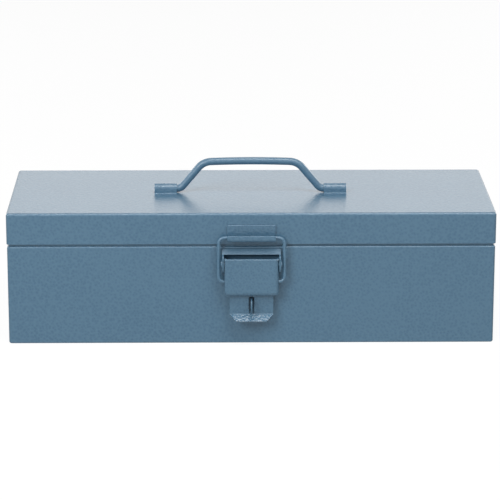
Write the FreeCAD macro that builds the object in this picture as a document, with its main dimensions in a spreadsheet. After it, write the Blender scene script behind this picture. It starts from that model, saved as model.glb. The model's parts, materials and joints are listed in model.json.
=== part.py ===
import FreeCAD, Part
import Sketcher

import math
import os

# Small pressed-steel toolbox with a hinged lid, a swinging carrying handle and a draw latch.
# The box stands on the XY plane with its floor centred on the origin. X runs along the box,
# the latch faces -Y and the lid hinges at +Y. Lengths are millimetres, angles are degrees.

DIMENSIONS = [
    # box and lid
    ("body_length", 332.8, "outer length of the box body"),
    ("body_depth", 123.6, "outer depth of the box body"),
    ("body_height", 69.1, "floor to the top of the shoulder"),
    ("sheet", 0.8, "steel sheet of the box and the lid"),
    ("corner_radius", 1.8, "upright corners of the body, outside"),
    ("bend_radius", 1.5, "bend between the floor and the walls, outside"),
    ("shoulder_radius", 1.2, "bend where the wall steps in to the rim"),
    ("rim_height", 6.0, "rim above the shoulder"),
    ("rim_corner_radius", 1.2, "upright corners of the rim, outside"),
    ("rim_clearance", 0.8, "between the rim and the inside of the lid skirt"),
    ("lid_overhang", 0.3, "lid skirt beyond the body on each side"),
    ("seam_gap", 1.5, "between the shoulder and the lid skirt"),
    ("lid_height", 21.8, "lid skirt's lower edge to the lid's top"),
    ("lid_edge_radius", 1.8, "bend between the lid's top and its skirt"),
    ("skirt_edge_radius", 0.4, "softened lower edge of the lid skirt"),
    # carrying handle
    ("handle_forward", 4.5, "handle axis in front of the lid's middle"),
    ("bar_diameter", 5.2, "round bar of the handle"),
    ("bar_lift", 0.3, "between the bar and the lid"),
    ("bar_end", 66.7, "middle of the lid to the end of the bar"),
    ("bar_foot", 48.8, "middle to the corner where a leg starts"),
    ("bar_shoulder", 32.7, "middle to the corner where a leg ends"),
    ("bar_rise", 19.1, "handle axis to the shoulder corner"),
    ("bar_crown", 1.1, "extra rise of the grip's middle"),
    ("bar_foot_radius", 6.0, "bend at the foot of a leg"),
    ("bar_shoulder_radius", 12.0, "bend at the shoulder"),
    ("bar_crown_radius", 740.0, "slow bow of the grip"),
    # straps that hold the handle
    ("strap_centre", 59.1, "middle of the lid to the middle of a strap"),
    ("strap_width", 15.6, "strap along the bar"),
    ("strap_sheet", 1.0, "strap thickness"),
    ("strap_clearance", 0.08, "running clearance of the bar in its strap"),
    ("strap_foot", 4.0, "clinched foot beyond the strap's leg"),
    ("slot_clearance", 0.1, "lid slot round a strap's leg"),
    # keeper hook on the lid
    ("keeper_width", 33.0, "hook plate along the box"),
    ("keeper_sheet", 1.0, "hook plate thickness"),
    ("keeper_top", 15.1, "seam shoulder to the top of the plate"),
    ("keeper_lip_top", 8.8, "seam shoulder to the top of the lip"),
    ("keeper_trough", 4.5, "inside of the hook, plate to lip"),
    ("keeper_bend_radius", 1.2, "inside bend of the hook"),
    ("keeper_edge_radius", 0.3, "softened top edge of the lip"),
    ("wire_seat_gap", 0.3, "between the loop wire and the hook's floor"),
    # wire loop
    ("wire_diameter", 2.3, "loop wire"),
    ("wire_half_span", 22.4, "middle to the centre line of a loop leg"),
    ("wire_out", 3.5, "front wall to the loop's top run"),
    ("wire_rise", 6.8, "seam shoulder to the loop's top run"),
    ("wire_corner_radius", 4.0, "upper corners of the loop"),
    ("wire_foot_radius", 3.5, "lower corners of the loop"),
    ("wire_foot_reach", 1.2, "foot beyond the lever's side"),
    ("wire_clearance", 0.08, "running clearance of a foot in the lever"),
    # latch base and pivot
    ("base_sheet", 1.0, "base plate thickness"),
    ("base_side", 1.2, "thickness of a base ear"),
    ("base_gap", 0.4, "between a base ear and the lever's side"),
    ("base_top_drop", 1.5, "seam shoulder to the top of the base"),
    ("base_low_drop", 18.9, "seam shoulder to the foot of the base"),
    ("window_top_drop", 2.9, "seam shoulder to the top of the window"),
    ("window_low_drop", 17.4, "seam shoulder to the foot of the window"),
    ("window_side", 3.6, "metal left beside the window"),
    ("hood_out", 4.0, "front wall to the hood's edge"),
    ("hood_low_drop", 4.8, "seam shoulder to the hood's edge"),
    ("hood_edge", 0.9, "thickness of the hood's edge"),
    ("hood_root", 1.3, "height of the hood's root on the plate"),
    ("ear_out", 8.6, "front wall to the ear's edge"),
    ("ear_low_drop", 16.9, "seam shoulder to the foot of an ear"),
    ("ear_radius", 3.0, "rounded corners of an ear"),
    ("pivot_out", 6.0, "front wall to the lever's pivot"),
    ("pivot_drop", 10.9, "seam shoulder to the lever's pivot"),
    ("pivot_radius", 1.5, "pivot pin"),
    ("pivot_clearance", 0.06, "running clearance of the lever on its pin"),
    ("pivot_head_radius", 2.4, "head of the pivot pin"),
    ("pivot_head", 0.9, "height of the pin's head"),
    ("pivot_head_round", 0.6, "rounding of the pin's head"),
    # lever
    ("lever_sheet", 1.0, "lever thickness"),
    ("lever_width", 36.8, "cover of the lever along the box"),
    ("lever_out", 9.5, "front wall to the face of the cover"),
    ("lever_top_drop", 6.8, "seam shoulder to the top of the cover"),
    ("lever_low_drop", 32.8, "seam shoulder to the foot of the cover"),
    ("lever_edge_radius", 2.6, "upright edges of the cover"),
    ("lever_foot_radius", 3.0, "bend at the foot of the cover"),
    ("link_drop", 23.3, "seam shoulder to the holes for the loop's feet"),
    ("link_out", 6.0, "front wall to the holes for the loop's feet"),
    ("cheek_radius", 4.2, "pivot to the back of the lever's side"),
    ("cheek_waist_drop", 19.0, "seam shoulder to where the side narrows"),
    ("cheek_low_drop", 28.5, "seam shoulder to where the side ends"),
    ("tongue_out", 5.5, "front wall to the face of the tongue"),
    ("tongue_width", 29.8, "tongue below the cover"),
    ("lip_drop", 46.5, "seam shoulder to the bend of the finger lip"),
    ("lip_length", 6.2, "finger lip along its slope"),
    ("lip_tip_width", 20.8, "width of the lip at its tip"),
    ("lip_bend_radius", 0.8, "inside bend of the finger lip"),
    ("slit_width", 3.8, "slit in the tongue for the staple"),
    ("slit_top_drop", 34.2, "seam shoulder to the top of the slit"),
    ("slit_low_drop", 46.2, "seam shoulder to the foot of the slit"),
    ("slit_radius", 0.9, "corners of the slit"),
    # padlock staple
    ("staple_sheet", 1.0, "staple thickness"),
    ("staple_out", 12.4, "front wall to the staple's tip"),
    ("staple_top_drop", 35.5, "seam shoulder to the top of the staple"),
    ("staple_low_drop", 45.5, "seam shoulder to the foot of the staple"),
    ("staple_round", 4.6, "rounded nose of the staple"),
    ("staple_foot", 9.0, "foot of the staple along the wall"),
    ("padlock_radius", 2.4, "hole for a padlock's shackle"),
    ("padlock_out", 8.7, "front wall to the padlock hole"),
    # hinges
    ("hinge_centre", 95.0, "middle of the box to the middle of a hinge"),
    ("hinge_width", 36.0, "hinge along its pin"),
    ("hinge_leaf", 15.5, "pin to the far edge of a leaf"),
    ("hinge_sheet", 0.9, "leaf thickness"),
    ("hinge_root", 1.1, "leaf plane to the root of a knuckle"),
    ("hinge_out", 2.2, "lid's rear wall to the pin"),
    ("hinge_notch", 2.2, "pin to the edge of the leaf beside a knuckle"),
    ("hinge_play", 0.3, "between two knuckles along the pin"),
    ("knuckle_radius", 1.9, "knuckle, outside"),
    ("knuckle_middle", 12.0, "middle knuckle along the pin, with its play"),
    ("pin_radius", 1.0, "hinge pin"),
    ("pin_clearance", 0.05, "running clearance of the lid's knuckle"),
    ("pin_head_radius", 1.6, "peened ends of the pin"),
    ("pin_head", 0.8, "height of a peened end"),
    ("stop_reach", 2.9, "pin to the edge of the stop on the lid's knuckle"),
    # shared
    ("overrun", 3.0, "how far a cut runs past the metal"),
]
ANGLES = [("lip_angle", 53.0, "finger lip away from the upright tongue")]

document = FreeCAD.newDocument("toolbox")
dims = document.addObject("Spreadsheet::Sheet", "dims")
for row, (alias, number, note) in enumerate(DIMENSIONS + ANGLES, start=1):
    dims.set(f"A{row}", note)
    dims.set(f"B{row}", str(number))
    dims.setAlias(f"B{row}", alias)
document.recompute()

# Heights and places that several pieces share, as expressions on the sheet.
LID_LENGTH = "(dims.body_length + 2 * dims.lid_overhang)"
LID_DEPTH = "(dims.body_depth + 2 * dims.lid_overhang)"
LID_LOW = "(dims.body_height + dims.seam_gap)"
LID_TOP = f"({LID_LOW} + dims.lid_height)"
LID_CORNER = "(dims.corner_radius + dims.lid_overhang)"
RIM_INSET = "(dims.sheet - dims.lid_overhang + dims.rim_clearance)"
BAR_RADIUS = "(dims.bar_diameter / 2)"
BAR_HEIGHT = f"(dims.bar_lift + {BAR_RADIUS})"
HANDLE_AXIS = f"({LID_TOP} + {BAR_HEIGHT})"
WIRE_RADIUS = "(dims.wire_diameter / 2)"
BODY_FRONT = "(-dims.body_depth / 2)"
LID_FRONT = f"(-{LID_DEPTH} / 2)"
LID_BACK = f"({LID_DEPTH} / 2)"
BASE_WIDTH = "(dims.lever_width + 2 * dims.base_gap + 2 * dims.base_side)"
LEVER_BACK = "(dims.pivot_out - dims.cheek_radius)"
PIN_HEIGHT = "(dims.body_height + dims.seam_gap / 2)"
HINGE_AXIS = f"({LID_BACK} + dims.hinge_out)"

# How near two places are when they count as one.
NEAR = 1e-4


def value(expression):
    """The number that an expression on the sheet stands for now."""
    return float(dims.evalExpression(str(expression)))


def bind(thing, **expressions):
    """Ties properties of an object to expressions; x, y and z mean its place."""
    for name, expression in expressions.items():
        where = f"Placement.Base.{name}" if name in ("x", "y", "z") else name
        thing.setExpression(where, str(expression))
    return thing


def new_body(name, **place):
    """A piece of its own with its place bound to the sheet."""
    body = document.addObject("PartDesign::Body", name)
    body.Label = name
    return bind(body, **place)


def new_sketch(body, name, plane, offset="0"):
    """A sketch on one of the body's own planes, moved along the plane's normal."""
    sketch = body.newObject("Sketcher::SketchObject", name)
    support = next(f for f in body.Origin.OriginFeatures if f.Role == plane)
    sketch.AttachmentSupport = [(support, "")]
    sketch.MapMode = "FlatFace"
    sketch.setExpression("AttachmentOffset.Base.z", offset)
    return sketch


def fix_point(sketch, geometry, vertex, x, y):
    """Ties a sketch point to the origin by two bound distances."""
    for kind, place in (("DistanceX", x), ("DistanceY", y)):
        index = sketch.addConstraint(
            Sketcher.Constraint(kind, -1, 1, geometry, vertex, value(place))
        )
        sketch.setExpression(f"Constraints[{index}]", str(place))


def corner_arc(before, corner, after, radius):
    """The arc that rounds a corner: its start, middle and end, and whether it turns left."""
    at = FreeCAD.Vector(*corner, 0)
    back = (FreeCAD.Vector(*before, 0) - at).normalize()
    ahead = (FreeCAD.Vector(*after, 0) - at).normalize()
    half = back.getAngle(ahead) / 2
    middle = (back + ahead).normalize()
    run = radius / math.tan(half)
    reach = radius / math.sin(half)
    left = back.cross(ahead).z < 0
    return at + back * run, at + middle * (reach - radius), at + ahead * run, left


def add_outline(sketch, corners, closed=True):
    """Draws straight runs through bound corners; a third entry rounds that corner."""
    spots = [(value(c[0]), value(c[1])) for c in corners]
    count = len(corners)
    arcs = {}
    for i, corner in enumerate(corners):
        if len(corner) > 2:
            around = (spots[i - 1], spots[i], spots[(i + 1) % count])
            arcs[i] = corner_arc(*around, value(corner[2]))
    runs = []
    for i in range(count if closed else count - 1):
        j = (i + 1) % count
        start = arcs[i][2] if i in arcs else FreeCAD.Vector(*spots[i], 0)
        end = arcs[j][0] if j in arcs else FreeCAD.Vector(*spots[j], 0)
        runs.append(sketch.addGeometry(Part.LineSegment(start, end), False))
    for i, corner in enumerate(corners):
        ahead = runs[i] if i < len(runs) else None
        back = runs[i - 1] if closed or i > 0 else None
        if i not in arcs:
            if None in (ahead, back):
                line, vertex = (ahead, 1) if back is None else (back, 2)
                fix_point(sketch, line, vertex, corner[0], corner[1])
                continue
            sketch.addConstraint(Sketcher.Constraint("Coincident", back, 2, ahead, 1))
            fix_point(sketch, ahead, 1, corner[0], corner[1])
            continue
        start, middle, end, left = arcs[i]
        arc = sketch.addGeometry(Part.Arc(start, middle, end), False)
        point = sketch.addGeometry(Part.Point(FreeCAD.Vector(*spots[i], 0)), True)
        fix_point(sketch, point, 1, corner[0], corner[1])
        first, last = (1, 2) if left else (2, 1)
        sketch.addConstraint(Sketcher.Constraint("Tangent", back, 2, arc, first))
        sketch.addConstraint(Sketcher.Constraint("Tangent", arc, last, ahead, 1))
        sketch.addConstraint(Sketcher.Constraint("PointOnObject", point, 1, back))
        sketch.addConstraint(Sketcher.Constraint("PointOnObject", point, 1, ahead))
        index = sketch.addConstraint(
            Sketcher.Constraint("Radius", arc, value(corner[2]))
        )
        sketch.setExpression(f"Constraints[{index}]", str(corner[2]))
    return sketch


def add_circle(sketch, x, y, radius):
    """Draws a bound circle."""
    centre = FreeCAD.Vector(value(x), value(y), 0)
    upward = FreeCAD.Vector(0, 0, 1)
    circle = sketch.addGeometry(Part.Circle(centre, upward, value(radius)), False)
    fix_point(sketch, circle, 3, x, y)
    index = sketch.addConstraint(Sketcher.Constraint("Radius", circle, value(radius)))
    sketch.setExpression(f"Constraints[{index}]", str(radius))
    return sketch


def rectangle(width, depth, radius):
    """Rounded corners of a rectangle about the origin."""
    signs = ((-1, -1), (1, -1), (1, 1), (-1, 1))
    return [(f"{i} * {width} / 2", f"{j} * {depth} / 2", radius) for i, j in signs]


def solid_step(kind, body, name, sketch, length, middle=False, backward=False):
    """Adds a Pad or a Pocket of bound length and keeps the body's tip on it."""
    step = body.newObject(f"PartDesign::{kind}", name)
    step.Profile = sketch
    step.setExpression("Length", str(length))
    step.Midplane = middle
    step.Reversed = backward
    sketch.Visibility = False
    before = 0 if body.Shape.isNull() else body.Shape.Volume
    document.recompute()
    if body.Shape.Volume == before:
        raise ValueError(f"{name} changes nothing")
    return step


def soften(body, name, base, radius, test):
    """Rounds the edges of a feature whose middle and ends pass a test on their place."""
    document.recompute()
    chosen = []
    for index, edge in enumerate(base.Shape.Edges, start=1):
        middle = edge.valueAt((edge.FirstParameter + edge.LastParameter) / 2)
        spots = [v.Point for v in edge.Vertexes] + [middle]
        if all(test(spot) for spot in spots):
            chosen.append(f"Edge{index}")
    if not chosen:
        raise ValueError(f"{name} finds no edge")
    fillet = body.newObject("PartDesign::Fillet", name)
    fillet.Base = (base, chosen)
    fillet.setExpression("Radius", str(radius))
    document.recompute()
    return fillet


def level(height):
    """A test for edges that lie at one height of their body."""
    target = value(height)
    return lambda spot: abs(spot.z - target) < NEAR


# The box body: one welded shell whose wall steps in at the top to a rim for the lid.
def make_body_shell():
    body = new_body("body_shell")
    outside = add_outline(
        new_sketch(body, "body_plan", "XY_Plane"),
        rectangle("dims.body_length", "dims.body_depth", "dims.corner_radius"),
    )
    block = solid_step("Pad", body, "body_block", outside, "dims.body_height")
    soften(body, "body_floor_bend", block, "dims.bend_radius", level("0"))
    soften(
        body,
        "body_shoulder_bend",
        body.Tip,
        "dims.shoulder_radius",
        level("dims.body_height"),
    )
    rim_length = f"(dims.body_length - 2 * {RIM_INSET})"
    rim_depth = f"(dims.body_depth - 2 * {RIM_INSET})"
    rim = add_outline(
        new_sketch(body, "rim_plan", "XY_Plane", "dims.body_height / 2"),
        rectangle(rim_length, rim_depth, "dims.rim_corner_radius"),
    )
    rim_reach = "dims.body_height / 2 + dims.rim_height"
    solid_step("Pad", body, "rim_block", rim, rim_reach)
    hollow = add_outline(
        new_sketch(body, "hollow_plan", "XY_Plane", "dims.sheet"),
        rectangle(
            "(dims.body_length - 2 * dims.sheet)",
            "(dims.body_depth - 2 * dims.sheet)",
            "(dims.corner_radius - dims.sheet)",
        ),
    )
    depth = "dims.body_height - 2 * dims.sheet"
    cut = solid_step("Pocket", body, "body_hollow", hollow, depth, backward=True)
    inside = level("dims.sheet")
    soften(body, "hollow_floor_bend", cut, "dims.bend_radius - dims.sheet", inside)
    mouth = add_outline(
        new_sketch(body, "mouth_plan", "XY_Plane", "dims.body_height / 2"),
        rectangle(
            f"({rim_length} - 2 * dims.sheet)",
            f"({rim_depth} - 2 * dims.sheet)",
            "(dims.rim_corner_radius - dims.sheet)",
        ),
    )
    reach = rim_reach + " + dims.overrun"
    solid_step("Pocket", body, "body_mouth", mouth, reach, backward=True)
    return body


# The lid: a shallow tray turned over, slotted for the straps that hold the handle.
def make_lid_shell():
    body = new_body("lid_shell")
    outside = add_outline(
        new_sketch(body, "lid_plan", "XY_Plane", LID_LOW),
        rectangle(LID_LENGTH, LID_DEPTH, LID_CORNER),
    )
    block = solid_step("Pad", body, "lid_block", outside, "dims.lid_height")
    soften(body, "lid_top_bend", block, "dims.lid_edge_radius", level(LID_TOP))
    soften(body, "skirt_edge", body.Tip, "dims.skirt_edge_radius", level(LID_LOW))
    hollow = add_outline(
        new_sketch(body, "lid_hollow_plan", "XY_Plane", f"{LID_LOW} - dims.overrun"),
        rectangle(
            f"({LID_LENGTH} - 2 * dims.sheet)",
            f"({LID_DEPTH} - 2 * dims.sheet)",
            f"({LID_CORNER} - dims.sheet)",
        ),
    )
    depth = "dims.lid_height - dims.sheet + dims.overrun"
    cut = solid_step("Pocket", body, "lid_hollow", hollow, depth, backward=True)
    ceiling = level(f"{LID_TOP} - dims.sheet")
    soften(body, "lid_inner_bend", cut, "dims.lid_edge_radius - dims.sheet", ceiling)
    slots = new_sketch(body, "strap_slots", "XY_Plane", f"{LID_TOP} + dims.overrun")
    leg = f"({BAR_RADIUS} + dims.strap_clearance + dims.strap_sheet / 2)"
    half_leg = "(dims.strap_sheet / 2 + dims.slot_clearance)"
    half_strap = "(dims.strap_width / 2 + dims.slot_clearance)"
    for side in (-1, 1):
        for face in (-1, 1):
            x = f"{side} * dims.strap_centre"
            y = f"(-dims.handle_forward + {face} * {leg})"
            corners = [
                (f"{x} {i} {half_strap}", f"{y} {j} {half_leg}")
                for i, j in (("-", "-"), ("+", "-"), ("+", "+"), ("-", "+"))
            ]
            add_outline(slots, corners)
    through = "dims.sheet + 2 * dims.overrun"
    solid_step("Pocket", body, "slots_cut", slots, through)
    return body


# Round bars that are bent in one plane: the path lies in the body's XZ plane.
def make_wire(name, start, corners, radius, **place):
    body = new_body(name, **place)
    path = new_sketch(body, f"{name}_path", "XZ_Plane")
    add_outline(path, corners, closed=False)
    section = new_sketch(body, f"{name}_section", "YZ_Plane", start)
    add_circle(section, "0", corners[0][1], radius)
    pipe = body.newObject("PartDesign::AdditivePipe", f"{name}_pipe")
    pipe.Profile = section
    pipe.Spine = (path, [])
    path.Visibility = False
    section.Visibility = False
    document.recompute()
    return body


def mirrored_path(half):
    """A path from its left half: the corners again in reverse order on the right."""
    right = [(f"-({c[0]})",) + tuple(c[1:]) for c in reversed(half) if c[0] != "0"]
    return list(half) + right


def make_handle_bail():
    half = [
        ("-dims.bar_end", "0"),
        ("-dims.bar_foot", "0", "dims.bar_foot_radius"),
        ("-dims.bar_shoulder", "dims.bar_rise", "dims.bar_shoulder_radius"),
        ("0", "dims.bar_rise + dims.bar_crown", "dims.bar_crown_radius"),
    ]
    return make_wire(
        "handle_bail",
        "-dims.bar_end",
        mirrored_path(half),
        BAR_RADIUS,
        y="-dims.handle_forward",
        z=HANDLE_AXIS,
    )


def make_latch_loop():
    lean = "atan((dims.link_out - dims.wire_out) / (dims.link_drop + dims.wire_rise))"
    run = "sqrt(pow(dims.link_out - dims.wire_out; 2) + pow(dims.link_drop + dims.wire_rise; 2))"
    end = "-(dims.lever_width / 2 - dims.lever_sheet - dims.wire_foot_reach)"
    half = [
        (end, "0"),
        ("-dims.wire_half_span", "0", "dims.wire_foot_radius"),
        ("-dims.wire_half_span", run, "dims.wire_corner_radius"),
    ]
    body = make_wire(
        "latch_loop",
        end,
        mirrored_path(half),
        WIRE_RADIUS,
        y=f"{BODY_FRONT} - dims.link_out",
        z="dims.body_height - dims.link_drop",
    )
    body.Placement.Rotation = FreeCAD.Rotation(FreeCAD.Vector(-1, 0, 0), value(lean))
    body.setExpression("Placement.Rotation.Angle", lean)
    return body


# Straight blocks and rods for the pieces that are cut and rolled from strip.
def make_block(name, x, y, z, length, width, height):
    block = document.addObject("Part::Box", name)
    return bind(block, x=x, y=y, z=z, Length=length, Width=width, Height=height)


def make_rod(name, x, y, z, radius, length):
    """A round rod along +X from its place."""
    rod = document.addObject("Part::Cylinder", name)
    rod.Placement.Rotation = FreeCAD.Rotation(FreeCAD.Vector(0, 1, 0), 90)
    return bind(rod, x=x, y=y, z=z, Radius=radius, Height=length)


def join(name, pieces):
    fused = document.addObject("Part::MultiFuse", name)
    fused.Shapes = pieces
    fused.Refine = True
    return fused


def cut_away(name, base, tool, **place):
    cut = document.addObject("Part::Cut", name)
    cut.Base = base
    cut.Tool = tool
    cut.Refine = True
    cut.Label = name
    return bind(cut, **place)


# A strap: a half-round saddle over the bar, its legs through the lid and its feet clinched.
def make_strap(name, side):
    inner = f"({BAR_RADIUS} + dims.strap_clearance)"
    outer = f"({inner} + dims.strap_sheet)"
    start = "-dims.strap_width / 2"
    under = f"(-{BAR_HEIGHT} - dims.sheet)"
    foot = f"({outer} + dims.strap_foot)"
    width = "dims.strap_width"
    hump = make_rod(f"{name}_hump", start, "0", "0", outer, width)
    legs = make_block(
        f"{name}_legs", start, f"-{outer}", under, width, f"2 * {outer}", f"-{under}"
    )
    feet = make_block(
        f"{name}_feet",
        start,
        f"-{foot}",
        f"{under} - dims.strap_sheet",
        width,
        f"2 * {foot}",
        "dims.strap_sheet",
    )
    long_start = f"{start} - dims.overrun"
    long_width = "dims.strap_width + 2 * dims.overrun"
    bore = make_rod(f"{name}_bore", long_start, "0", "0", inner, long_width)
    low = f"({under} - dims.strap_sheet - dims.overrun)"
    between = make_block(
        f"{name}_between",
        long_start,
        f"-{inner}",
        low,
        long_width,
        f"2 * {inner}",
        f"-{low}",
    )
    return cut_away(
        name,
        join(f"{name}_metal", [hump, legs, feet]),
        join(f"{name}_inside", [bore, between]),
        x=f"{side} * dims.strap_centre",
        y="-dims.handle_forward",
        z=HANDLE_AXIS,
    )


# The keeper: a plate welded to the lid whose lower edge turns up into a hook.
def make_keeper_hook():
    body = new_body("keeper_hook", y=LID_FRONT, z="dims.body_height")
    reach = "(dims.keeper_trough + 2 * dims.keeper_sheet)"
    floor = f"(dims.wire_rise - {WIRE_RADIUS} - dims.wire_seat_gap)"
    low = f"({floor} - dims.keeper_sheet)"
    outer = "(dims.keeper_bend_radius + dims.keeper_sheet)"
    edge = "dims.keeper_edge_radius"
    corners = [
        ("0", "dims.keeper_top"),
        ("0", low, outer),
        (f"-{reach}", low, outer),
        (f"-{reach}", "dims.keeper_lip_top", edge),
        (f"-{reach} + dims.keeper_sheet", "dims.keeper_lip_top", edge),
        (f"-{reach} + dims.keeper_sheet", floor, "dims.keeper_bend_radius"),
        ("-dims.keeper_sheet", floor, "dims.keeper_bend_radius"),
        ("-dims.keeper_sheet", "dims.keeper_top", edge),
    ]
    profile = add_outline(new_sketch(body, "keeper_profile", "YZ_Plane"), corners)
    solid_step("Pad", body, "keeper_strip", profile, "dims.keeper_width", middle=True)
    return body


# The latch base: a plate with a window, a hood over it and two ears for the pivot pin.
def make_latch_base():
    body = new_body("latch_base", y=BODY_FRONT, z="dims.body_height")
    hood = [
        ("0", "-dims.base_top_drop"),
        ("-dims.base_sheet", "-dims.base_top_drop", "dims.keeper_edge_radius"),
        ("-dims.hood_out", "-dims.hood_low_drop"),
        ("-dims.hood_out + dims.hood_edge", "-dims.hood_low_drop"),
        ("0", "-dims.base_top_drop - dims.hood_root"),
    ]
    profile = add_outline(new_sketch(body, "hood_profile", "YZ_Plane"), hood)
    solid_step("Pad", body, "hood", profile, BASE_WIDTH, middle=True)
    plate = [
        ("0", "-dims.base_top_drop - dims.hood_root / 2"),
        ("-dims.base_sheet", "-dims.base_top_drop - dims.hood_root / 2"),
        ("-dims.base_sheet", "-dims.base_low_drop"),
        ("0", "-dims.base_low_drop"),
    ]
    profile = add_outline(new_sketch(body, "plate_profile", "YZ_Plane"), plate)
    solid_step("Pad", body, "plate", profile, BASE_WIDTH, middle=True)
    ear = [
        ("0", "-dims.hood_low_drop"),
        ("0", "-dims.ear_low_drop"),
        ("-dims.ear_out", "-dims.ear_low_drop", "dims.ear_radius"),
        ("-dims.ear_out", "-dims.hood_low_drop", "dims.ear_radius"),
    ]
    for side, offset in (
        ("left", f"-{BASE_WIDTH} / 2"),
        ("right", f"{BASE_WIDTH} / 2 - dims.base_side"),
    ):
        sketch = new_sketch(body, f"ear_{side}_profile", "YZ_Plane", offset)
        solid_step(
            "Pad", body, f"ear_{side}", add_outline(sketch, ear), "dims.base_side"
        )
    half = f"({BASE_WIDTH} / 2 - dims.window_side)"
    window = [
        (f"-{half}", "-dims.window_low_drop"),
        (half, "-dims.window_low_drop"),
        (half, "-dims.window_top_drop"),
        (f"-{half}", "-dims.window_top_drop"),
    ]
    sketch = add_outline(new_sketch(body, "window_plan", "XZ_Plane"), window)
    solid_step("Pocket", body, "window", sketch, "dims.base_sheet", backward=True)
    hole = add_circle(
        new_sketch(body, "pivot_hole_plan", "YZ_Plane"),
        "-dims.pivot_out",
        "-dims.pivot_drop",
        "dims.pivot_radius",
    )
    solid_step("Pocket", body, "pivot_hole", hole, BASE_WIDTH, middle=True)
    return body


# The pivot pin: a plain shank with a low rounded head outside each ear.
def make_pivot_pin():
    body = new_body(
        "latch_pivot_pin",
        y=f"{BODY_FRONT} - dims.pivot_out",
        z="dims.body_height - dims.pivot_drop",
    )
    half = f"({BASE_WIDTH} / 2)"
    outer = f"({half} + dims.pivot_head)"
    corners = [
        (f"-{outer}", "0"),
        (f"-{outer}", "dims.pivot_head_radius", "dims.pivot_head_round"),
        (f"-{half}", "dims.pivot_head_radius"),
        (f"-{half}", "dims.pivot_radius"),
        (half, "dims.pivot_radius"),
        (half, "dims.pivot_head_radius"),
        (outer, "dims.pivot_head_radius", "dims.pivot_head_round"),
        (outer, "0"),
    ]
    sketch = add_outline(new_sketch(body, "pivot_pin_profile", "XY_Plane"), corners)
    turned = body.newObject("PartDesign::Revolution", "pivot_pin_turned")
    turned.Profile = sketch
    turned.ReferenceAxis = (sketch, ["H_Axis"])
    document.recompute()
    return body


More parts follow.
